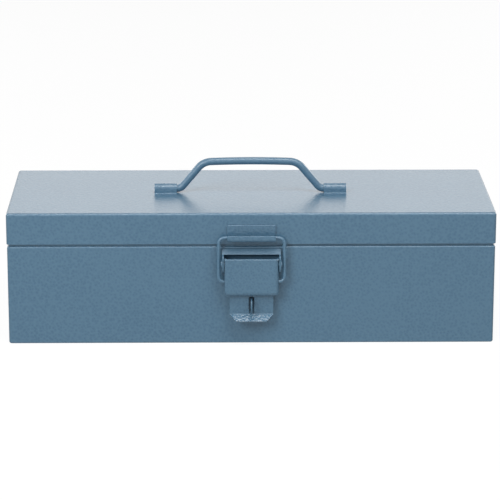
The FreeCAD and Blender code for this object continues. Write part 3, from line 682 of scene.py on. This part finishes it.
@dataclass
class Handle:
    """The bent bar and the two straps that hold it on the lid."""

    painter: Painter
    bar_painter: Painter
    strap: Strap = Strap()

    def bar(self) -> bpy.types.Object:
        """Keeps the bar's own mesh, which is round already.

        Returns:
            The bar.
        """
        return self.bar_painter.repaint("handle_bail")

    def fold_strap(self, side: Side) -> bpy.types.Object:
        """Folds one strap: saddle, legs through the lid, clinched feet and a paint fillet.

        Args:
            side: The strap's end of the box.

        Returns:
            The finished strap.
        """
        node = f"handle_strap_{side.word}"
        low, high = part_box(node)
        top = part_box("lid_shell")[1].z
        strap = self.strap
        middle = (low.y + high.y) / 2
        axis = top + strap.bar_lift + strap.bar
        out, crown = strap.outside, axis + strap.outside
        hump = prism(
            [
                (middle - out, low.z, 0),
                (middle + out, low.z, 0),
                (middle + out, crown, out - NEAR),
                (middle - out, crown, out - NEAR),
            ],
            low.x,
            high.x,
        )
        bore, deep = strap.bore, low.z - OVERRUN
        inside = prism(
            [
                (middle - bore, deep, 0),
                (middle + bore, deep, 0),
                (middle + bore, axis + bore, bore - NEAR),
                (middle - bore, axis + bore, bore - NEAR),
            ],
            low.x - OVERRUN,
            high.x + OVERRUN,
        )
        extras = []
        for face in (-1, 1):
            wall, end = middle + face * strap.outside, middle + face * (high.y - middle)
            inner = wall - face * strap.sheet / 2
            foot = sorted((inner, end))
            extras.append(
                block(
                    Vector((low.x, foot[0], low.z)),
                    Vector((high.x, foot[1], low.z + strap.sheet)),
                )
            )
            out_y = wall + face * strap.fillet
            extras.append(
                prism(
                    [
                        (inner, top, 0),
                        (out_y, top, 0),
                        (out_y, top + strap.fillet_edge, 0),
                        (wall, top + strap.fillet_edge, strap.fillet * strap.fillet_share),
                        (wall, top + strap.fillet, 0),
                        (inner, top + strap.fillet, 0),
                    ],
                    low.x,
                    high.x,
                )
            )
        bm = work(hump, [inside], Cut.REMOVE)
        return self.painter.dress(node, work(bm, extras, Cut.ADD))


# The draw latch


@dataclass
class Latch:
    """The keeper on the lid, and the base, lever, wire loop and staple on the box."""

    painter: Painter
    # The base's finish, which the staple shares. Its colour is darkened as painted shade for the
    # hood.
    base_painter: Painter
    bar_painter: Painter
    sheet: float = 1.0 * MM
    # The keeper hook.
    lip_above: float = 4.45 * MM
    hook_bend: float = 2.2 * MM
    # The base.
    ear: float = 1.2 * MM
    ear_round: float = 3.0 * MM
    hood_out: float = 4.0 * MM
    hood_fall: float = 3.3 * MM
    hood_edge: float = 0.9 * MM
    hood_root: float = 1.3 * MM
    ear_foot: float = 2.0 * MM
    window_side: float = 3.6 * MM
    window_top: float = 1.5 * MM
    # The pivot pin and the lever on it.
    pin: float = 1.5 * MM
    pin_gap: float = 0.06 * MM
    wire: float = 1.15 * MM
    wire_gap: float = 0.08 * MM
    # The cover's face in front of the pivot, and its height.
    cover_out: float = 3.5 * MM
    cover_height: float = 26.0 * MM
    cover_round: float = 2.6 * MM
    cover_brow: float = 0.8 * MM
    # The cheeks. These heights and those below are drops from the cover's upper edge.
    cheek_round: float = 4.2 * MM
    waist: float = 12.2 * MM
    cheek_end: float = 21.7 * MM
    # The tongue, its finger lip and its slit.
    tongue_step: float = 4.0 * MM
    tongue: float = 29.8 * MM
    lip_drop: float = 39.7 * MM
    lip_bend: float = 0.8 * MM
    lip_tip: float = 20.8 * MM
    slit: float = 3.8 * MM
    slit_top: float = 27.4 * MM
    slit_foot: float = 39.4 * MM
    slit_round: float = 0.9 * MM
    # The staple.
    staple_round: float = 4.6 * MM
    padlock: float = 2.4 * MM
    padlock_out: float = 8.7 * MM

    def keeper(self) -> bpy.types.Object:
        """Folds the hook: a plate on the lid whose lower edge turns up.

        Returns:
            The finished hook.
        """
        low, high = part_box("keeper_hook")
        lip_top = low.z + self.lip_above
        bend, inner = self.hook_bend, self.hook_bend - self.sheet
        front, back = low.y + self.sheet, high.y - self.sheet
        section = [
            (high.y, high.z, 0),
            (high.y, low.z, bend),
            (low.y, low.z, bend),
            (low.y, lip_top, 0),
            (front, lip_top, 0),
            (front, low.z + self.sheet, inner),
            (back, low.z + self.sheet, inner),
            (back, high.z, 0),
        ]
        bm = prism(section, low.x, high.x)
        return self.painter.dress("keeper_hook", bm)

    def base(self) -> bpy.types.Object:
        """Presses the base: a plate with a window, a hood over it and two ears.

        Returns:
            The finished base.
        """
        low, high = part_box("latch_base")
        wall, face = high.y, high.y - self.sheet
        edge, brow = wall - self.hood_out, high.z - self.hood_fall
        hood = [
            (wall, high.z, 0),
            (face, high.z, 0),
            (edge, brow, 0),
            (edge + self.hood_edge, brow, 0),
            (wall, high.z - self.hood_root, 0),
        ]
        plate = block(
            Vector((low.x, face, low.z)),
            Vector((high.x, wall, high.z - self.hood_root / 2)),
        )
        foot = low.z + self.ear_foot
        ear = [
            (wall, brow, 0),
            (wall, foot, 0),
            (low.y, foot, self.ear_round),
            (low.y, brow, self.ear_round),
        ]
        ears = [
            prism(ear, low.x, low.x + self.ear),
            prism(ear, high.x - self.ear, high.x),
        ]
        window = block(
            Vector((low.x + self.window_side, face - OVERRUN, low.z + self.window_top)),
            Vector((high.x - self.window_side, wall + OVERRUN, high.z - self.window_top)),
        )
        bm = work(plate, [window], Cut.REMOVE)
        bm = work(bm, [prism(hood, low.x, high.x), *ears], Cut.ADD)
        bm = work(bm, [self._pivot_tool(high.x - low.x)], Cut.REMOVE)
        return self.base_painter.dress("latch_base", bm)

    def lever(self) -> bpy.types.Object:
        """Presses the lever: a pan-shaped cover, two cheeks, a slit tongue and a lip.

        Returns:
            The finished lever.
        """
        low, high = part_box("latch_lever")
        pin_low, pin_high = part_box("latch_pivot_pin")
        axis = (pin_low + pin_high) / 2
        front = axis.y - self.cover_out
        foot = high.z - self.cover_height
        step = front + self.tongue_step + self.sheet
        profile = [
            (front, high.z, self.cover_brow),
            (front, foot, 0),
            (step, foot, 0),
            (step, high.z - self.cheek_end, 0),
            (high.y, high.z - self.waist, 0),
            (high.y, high.z, self.cheek_round),
        ]
        cover = prism(profile, low.x, high.x)
        rim = [e for e in cover.edges if self._on_rim(e, front, foot, step)]
        round_off(cover, rim, self.cover_round)
        hollow = block(
            Vector((low.x + self.sheet, front + self.sheet, foot + self.sheet)),
            Vector((high.x - self.sheet, high.y + OVERRUN, high.z + OVERRUN)),
        )
        rim = [
            e
            for e in hollow.edges
            if self._on_rim(e, front + self.sheet, foot + self.sheet, high.y + OVERRUN)
        ]
        round_off(hollow, rim, self.cover_round - self.sheet)
        bm = work(cover, [hollow], Cut.REMOVE)
        bm = work(bm, [self._tongue(low, high, front, foot)], Cut.ADD)
        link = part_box("latch_loop")
        link_z = link[0].z + self.wire
        tools = [
            self._slit_tool(front, high.z),
            self._pivot_tool(high.x - low.x, self.pin_gap),
            rod(
                Vector((0, axis.y, link_z)),
                self.wire + self.wire_gap,
                high.x - low.x + OVERRUN,
            ),
        ]
        return self.painter.dress("latch_lever", work(bm, tools, Cut.REMOVE))

    def staple(self) -> bpy.types.Object:
        """Folds the padlock staple: a half-moon tab on a foot that lies on the wall.

        Returns:
            The finished staple.
        """
        low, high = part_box("padlock_staple")
        half = -low.x
        nose = self.staple_round
        tab = prism(
            [
                (high.y, high.z, 0),
                (high.y, low.z, 0),
                (low.y, low.z, nose),
                (low.y, high.z, nose),
            ],
            -half,
            half,
        )
        foot = block(
            Vector((-half, high.y - 2 * half, low.z)),
            Vector((high.x, high.y, high.z)),
        )
        round_off(
            foot,
            [
                e
                for e in foot.edges
                if along(e, 1) and e.verts[0].co.x > high.x - NEAR
            ],
            self.slit_round,
        )
        centre = Vector((0, high.y - self.padlock_out, (low.z + high.z) / 2))
        bm = work(tab, [foot], Cut.ADD)
        bm = work(bm, [rod(centre, self.padlock, OVERRUN)], Cut.REMOVE)
        return self.base_painter.dress("padlock_staple", bm)

    def round_pieces(self) -> list[bpy.types.Object]:
        """Keeps the meshes of the wire loop and the pivot pin.

        Returns:
            The loop and the pin.
        """
        loop = self.bar_painter.repaint("latch_loop")
        return [loop, self.bar_painter.repaint("latch_pivot_pin")]

    def _on_rim(
        self, edge: bmesh.types.BMEdge, front: float, foot: float, back: float
    ) -> bool:
        """Whether an edge is on the rim of the cover's face or of its foot.

        Args:
            edge: The edge.
            front: Y of the cover's face.
            foot: Z of the cover's foot.
            back: Y where the foot ends.

        Returns:
            True where it is.
        """
        a, b = (v.co for v in edge.verts)
        upright = along(edge, 2) and abs(a.y - front) < NEAR
        across = along(edge, 0) and abs(a.y - front) < NEAR and abs(a.z - foot) < NEAR
        below = along(edge, 1) and abs(a.z - foot) < NEAR and max(a.y, b.y) < back + NEAR
        return upright or across or below

    def _tongue(
        self, low: Vector, high: Vector, front: float, foot: float
    ) -> bmesh.types.BMesh:
        """The tongue below the cover and its finger lip, which narrows to the tip.

        Args:
            low: The lever's lowest corner.
            high: The lever's highest corner.
            front: Y of the cover's face.
            foot: Z of the cover's foot.

        Returns:
            The tongue and lip as a new bmesh.
        """
        face = front + self.tongue_step
        bend_z = high.z - self.lip_drop
        reach_y, reach_z = low.y - face, low.z - bend_z
        slope = math.atan2(-reach_y, -reach_z)
        thick = Vector((math.cos(slope), -math.sin(slope))) * self.sheet
        tip = Vector((low.y, low.z + self.sheet * math.sin(slope)))
        fold = self.sheet * math.tan(slope / 2)
        section = [
            (face, foot + self.sheet, 0),
            (face, bend_z, self.lip_bend),
            (tip.x, tip.y, 0),
            (tip.x + thick.x, tip.y + thick.y, 0),
            (face + self.sheet, bend_z - fold, self.lip_bend + self.sheet),
            (face + self.sheet, foot + self.sheet, 0),
        ]
        bm = prism(section, -self.tongue / 2, self.tongue / 2)
        ends = [v for v in bm.verts if v.co.z < bend_z + reach_z / 2]
        share = self.lip_tip / self.tongue
        bmesh.ops.scale(bm, vec=(share, 1, 1), verts=ends)
        return bm

    def _slit_tool(self, front: float, top: float) -> bmesh.types.BMesh:
        """The tool that cuts the slit for the staple.

        Args:
            front: Y of the cover's face.
            top: Z of the cover's upper edge.

        Returns:
            The tool as a new bmesh.
        """
        half = self.slit / 2
        face = front + self.tongue_step
        tool = block(
            Vector((-half, face - OVERRUN, top - self.slit_foot)),
            Vector((half, face + self.sheet + OVERRUN, top - self.slit_top)),
        )
        round_off(tool, [e for e in tool.edges if along(e, 1)], self.slit_round)
        return tool

    def _pivot_tool(self, width: float, gap: float = 0.0) -> bmesh.types.BMesh:
        """The tool that bores the pivot hole.

        Args:
            width: Width of the piece along the pin.
            gap: Play around the pin.

        Returns:
            The tool as a new bmesh.
        """
        low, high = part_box("latch_pivot_pin")
        return rod((low + high) / 2, self.pin + gap, width + OVERRUN)


# The hinges


@dataclass
class Hinges:
    """Two butt hinges on the back: leaves with rolled knuckles on a peened pin."""

    painter: Painter
    bar_painter: Painter
    leaf: float = 0.9 * MM
    knuckle: float = 1.9 * MM
    bore: float = 1.0 * MM
    play: float = 0.05 * MM
    root: float = 1.1 * MM
    notch: float = 2.2 * MM
    middle: float = 12.0 * MM
    gap: float = 0.3 * MM
    stop: float = 2.9 * MM
    leaf_corner: float = 2.0 * MM
    # Dents that the electrodes left when the leaves were spot welded.
    weld: float = 2.2 * MM
    weld_depth: float = 0.18 * MM
    weld_spacing: float = 13.0 * MM
    weld_facets: int = 32

    def make(self, side: Side) -> list[bpy.types.Object]:
        """Makes one hinge.

        Args:
            side: The hinge's end of the box.

        Returns:
            Its two leaves and its pin.
        """
        return [
            self._body_leaf(side),
            self._lid_leaf(side),
            self.bar_painter.repaint(f"hinge_pin_{side.word}"),
        ]

    def _axis(self, side: Side) -> Vector:
        """The middle of a hinge's pin.

        Args:
            side: The hinge's end of the box.

        Returns:
            The place on the pin's axis.
        """
        low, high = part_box(f"hinge_pin_{side.word}")
        return (low + high) / 2

    def _plate(
        self, side: Side, node: str, wall: float, near: float, far: float
    ) -> bmesh.types.BMesh:
        """A flat leaf with rounded far corners and dents where it is spot welded.

        Args:
            side: The hinge's end of the box.
            node: The leaf's node, which gives its width.
            wall: Y of the wall that it lies on.
            near: Z of its edge at the pin.
            far: Z of its other edge.

        Returns:
            The leaf as a new bmesh.
        """
        low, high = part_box(node)
        bm = block(
            Vector((low.x, wall, min(near, far))),
            Vector((high.x, wall + self.leaf, max(near, far))),
        )
        outer = [
            e
            for e in bm.edges
            if along(e, 1) and abs(e.verts[0].co.z - far) < NEAR
        ]
        round_off(bm, outer, self.leaf_corner)
        centre, z = self._axis(side), (near + far) / 2
        dents = []
        for step in (-1, 0, 1):
            dent = bmesh.new()
            bmesh.ops.create_uvsphere(
                dent,
                u_segments=self.weld_facets,
                v_segments=self.weld_facets // 2,
                radius=1.0,
            )
            size = Vector((self.weld, self.weld_depth, self.weld))
            bmesh.ops.scale(dent, vec=size, verts=dent.verts)
            spot = Vector((centre.x + step * self.weld_spacing, wall + self.leaf, z))
            bmesh.ops.translate(dent, vec=spot, verts=dent.verts)
            dents.append(dent)
        return work(bm, dents, Cut.REMOVE)

    def _body_leaf(self, side: Side) -> bpy.types.Object:
        """The leaf on the box, with a knuckle at each end of the pin.

        Args:
            side: The hinge's end of the box.

        Returns:
            The finished leaf.
        """
        node = f"hinge_body_leaf_{side.word}"
        low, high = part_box(node)
        axis = self._axis(side)
        bm = self._plate(side, node, low.y, axis.z - self.notch, low.z)
        reach = self.middle / 2
        parts = []
        for start, end in ((low.x, axis.x - reach), (axis.x + reach, high.x)):
            middle = Vector(((start + end) / 2, axis.y, axis.z))
            parts.append(
                block(
                    Vector((start, low.y, axis.z - self.notch - NEAR)),
                    Vector((end, axis.y - self.root, axis.z)),
                )
            )
            parts.append(rod(middle, self.knuckle, end - start))
        bm = work(bm, parts, Cut.ADD)
        bm = work(bm, [rod(axis, self.bore, high.x - low.x + OVERRUN)], Cut.REMOVE)
        return self.painter.dress(node, bm)

    def _lid_leaf(self, side: Side) -> bpy.types.Object:
        """The leaf on the lid, with the middle knuckle and its stop.

        Args:
            side: The hinge's end of the box.

        Returns:
            The finished leaf.
        """
        node = f"hinge_lid_leaf_{side.word}"
        low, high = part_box(node)
        axis = self._axis(side)
        bm = self._plate(side, node, low.y, axis.z + self.notch, high.z)
        reach = self.middle / 2 - self.gap
        parts = [
            block(
                Vector((axis.x - reach, low.y, axis.z)),
                Vector((axis.x + reach, axis.y - self.root, axis.z + self.notch + NEAR)),
            ),
            rod(axis, self.knuckle, 2 * reach),
            block(
                Vector((axis.x - reach, axis.y, axis.z - self.leaf)),
                Vector((axis.x + reach, axis.y + self.stop, axis.z)),
            ),
        ]
        bm = work(bm, parts, Cut.ADD)
        hole = rod(axis, self.bore + self.play, high.x - low.x + OVERRUN)
        return self.painter.dress(node, work(bm, [hole], Cut.REMOVE))


# The studio


@dataclass(frozen=True)
class Softbox:
    """A square studio lamp that points at the toolbox."""

    name: str
    place: Vector
    width: float
    watts: float


# The front's middle, just below the seam.
AIM = Vector((-0.98, -62.0, 66.5)) * MM
LAMPS = (
    # These two shape the fronts, and the left one is the key light.
    Softbox("left_softbox", Vector((-0.8, -1.05, 0.85)), width=0.7, watts=10.0),
    Softbox("right_softbox", Vector((0.58, -0.75, 1.1)), width=0.7, watts=5.6),
    # This one makes the finger lip sparkle.
    Softbox("overhead_softbox", Vector((0.0, -0.45, 1.25)), width=0.5, watts=5.0),
    # This one adds to the pale sheen on the lid.
    Softbox("rear_softbox", Vector((0.35, 1.5, 0.62)), width=1.5, watts=1.8),
    # These two light the back and the ends.
    Softbox("back_left_softbox", Vector((-1.1, 1.0, 0.35)), width=0.8, watts=6.0),
    Softbox("back_right_softbox", Vector((1.1, 1.0, 0.35)), width=0.8, watts=6.0),
)


@dataclass(frozen=True)
class Studio:
    """A pale floor, soft lamps and the camera at the photograph's angle."""

    # What the camera and the lamps point at, and the camera's angles and distance from it.
    aim: Vector
    azimuth: float = math.radians(0.81)
    elevation: float = math.radians(15.62)
    roll: float = math.radians(0.06)
    distance: float = 1757.0 * MM
    focal_pixels: float = 2580.0
    frame_pixels: float = 500.0
    # Blender gives the film and the lens in millimetres.
    film: float = 36.0
    # Half the floor's width, and its gap under the box, so that the two don't share a plane.
    floor_half: float = 12.0
    floor_drop: float = 0.02 * MM
    paper: str = "#606060"

    def camera(self) -> bpy.types.Object:
        """Places the camera.

        Returns:
            The camera that the scene is rendered from.
        """
        data = bpy.data.cameras.new("camera")
        data.sensor_width = self.film
        data.lens = self.focal_pixels * self.film / self.frame_pixels
        flat = math.cos(self.elevation)
        ahead = Vector(
            (
                math.sin(self.azimuth) * flat,
                math.cos(self.azimuth) * flat,
                -math.sin(self.elevation),
            )
        )
        right = Vector((math.cos(self.azimuth), -math.sin(self.azimuth), 0))
        up = right.cross(ahead)
        turned = Matrix.Rotation(-self.roll, 3, ahead)
        axes = Matrix((turned @ right, turned @ up, -ahead)).transposed()
        camera = bpy.data.objects.new("camera", data)
        camera.matrix_world = Matrix.Translation(
            self.aim - ahead * self.distance
        ) @ axes.to_4x4()
        bpy.context.scene.collection.objects.link(camera)
        bpy.context.scene.camera = camera
        return camera

    def lamps(self, boxes: Iterable[Softbox]) -> None:
        """Hangs lamps that point at the camera's aim.

        Args:
            boxes: The lamps.
        """
        for box in boxes:
            data = bpy.data.lights.new(box.name, "AREA")
            data.shape, data.size, data.energy = "SQUARE", box.width, box.watts
            lamp = bpy.data.objects.new(box.name, data)
            lamp.location = box.place
            lamp.rotation_euler = (self.aim - box.place).to_track_quat("-Z", "Y").to_euler()
            bpy.context.scene.collection.objects.link(lamp)

    def world(self, level: float = 0.05) -> None:
        """Lights the room evenly; the camera and reflections see it white.

        Args:
            level: Strength of the light that falls on the object.
        """
        world = bpy.data.worlds.new("room")
        bpy.context.scene.world = world
        world.use_nodes = True
        tree = world.node_tree
        tree.nodes.clear()
        white = add_node(
            tree,
            "ShaderNodeBackground",
            {"Color": linear(WHITE), "Strength": self._seen(tree, mirrored=1.0, lighting=level)},
        )
        add_node(
            tree, "ShaderNodeOutputWorld", {"Surface": white.outputs["Background"]}
        )

    def floor(
        self, glow: float = 0.92, mirrored: float = 0.38, bounce: float = 0.68
    ) -> bpy.types.Object:
        """Lays a pale floor that keeps a soft shadow under the box.

        Args:
            glow: White that the camera sees on top of the lamps' light.
            mirrored: Share of that white that reflections see.
            bounce: Share of that white that lights the box from below.

        Returns:
            The floor, which belongs to the stage.
        """
        bm = bmesh.new()
        bmesh.ops.create_grid(bm, x_segments=1, y_segments=1, size=self.floor_half)
        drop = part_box("body_shell")[0].z - self.floor_drop
        bmesh.ops.translate(bm, vec=(0, 0, drop), verts=bm.verts)
        floor = as_object("floor", bm)
        material = bpy.data.materials.new("matt_white_paper")
        material.use_nodes = True
        tree = material.node_tree
        tree.nodes.clear()
        paper = add_node(
            tree, "ShaderNodeBsdfDiffuse", {"Color": linear(self.paper)}
        )
        strength = add_node(
            tree,
            "ShaderNodeMath",
            {0: self._seen(tree, mirrored, bounce), 1: glow},
            operation="MULTIPLY",
        )
        light = add_node(
            tree,
            "ShaderNodeEmission",
            {"Color": linear(WHITE), "Strength": strength.outputs[0]},
        )
        both = add_node(
            tree,
            "ShaderNodeAddShader",
            {0: paper.outputs["BSDF"], 1: light.outputs["Emission"]},
        )
        add_node(
            tree, "ShaderNodeOutputMaterial", {"Surface": both.outputs["Shader"]}
        )
        floor.data.materials.append(material)
        return floor

    def _seen(
        self, tree: bpy.types.NodeTree, mirrored: float, lighting: float
    ) -> bpy.types.NodeSocket:
        """A strength for each kind of ray, which is one for rays from the camera.

        Args:
            tree: The node tree that asks.
            mirrored: The value for rays from a reflection or through glass.
            lighting: The value for rays that light a matt surface.

        Returns:
            The socket that holds the value.
        """
        path = add_node(tree, "ShaderNodeLightPath").outputs
        bent = add_node(
            tree,
            "ShaderNodeMath",
            {0: path["Is Glossy Ray"], 1: path["Is Transmission Ray"]},
            operation="MAXIMUM",
        )
        others = add_node(
            tree,
            "ShaderNodeMapRange",
            {"Value": bent.outputs[0], "To Min": lighting, "To Max": mirrored},
        )
        return add_node(
            tree,
            "ShaderNodeMath",
            {0: others.outputs["Result"], 1: path["Is Camera Ray"]},
            operation="MAXIMUM",
        ).outputs[0]


def main() -> None:
    logging.basicConfig(level=logging.INFO, format="%(name)s: %(message)s")
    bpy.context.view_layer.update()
    bpy.context.scene.view_settings.view_transform = "Standard"

    studio = Studio(AIM)
    studio.camera()
    studio.world()
    studio.floor()
    studio.lamps(LAMPS)

    shells = Shells(Painter(ON_SHEET.material()))
    shells.box()
    shells.lid()
    enamel = ON_PRESSINGS.material()
    pressings = Painter(enamel, PRESSED_EDGE)
    bars = Painter(ON_BARS.material())
    handle = Handle(Painter(enamel, CRISP), bars)
    handle.bar()
    latch = Latch(pressings, Painter(ON_LATCH_BASE_WITH_PAINTED_SHADE.material(), CRISP), bars)
    latch.keeper()
    latch.base()
    latch.lever()
    latch.staple()
    latch.round_pieces()
    hinges = Hinges(pressings, bars)
    for side in Side:
        handle.fold_strap(side)
        hinges.make(side)


if __name__ == "__main__":
    main()
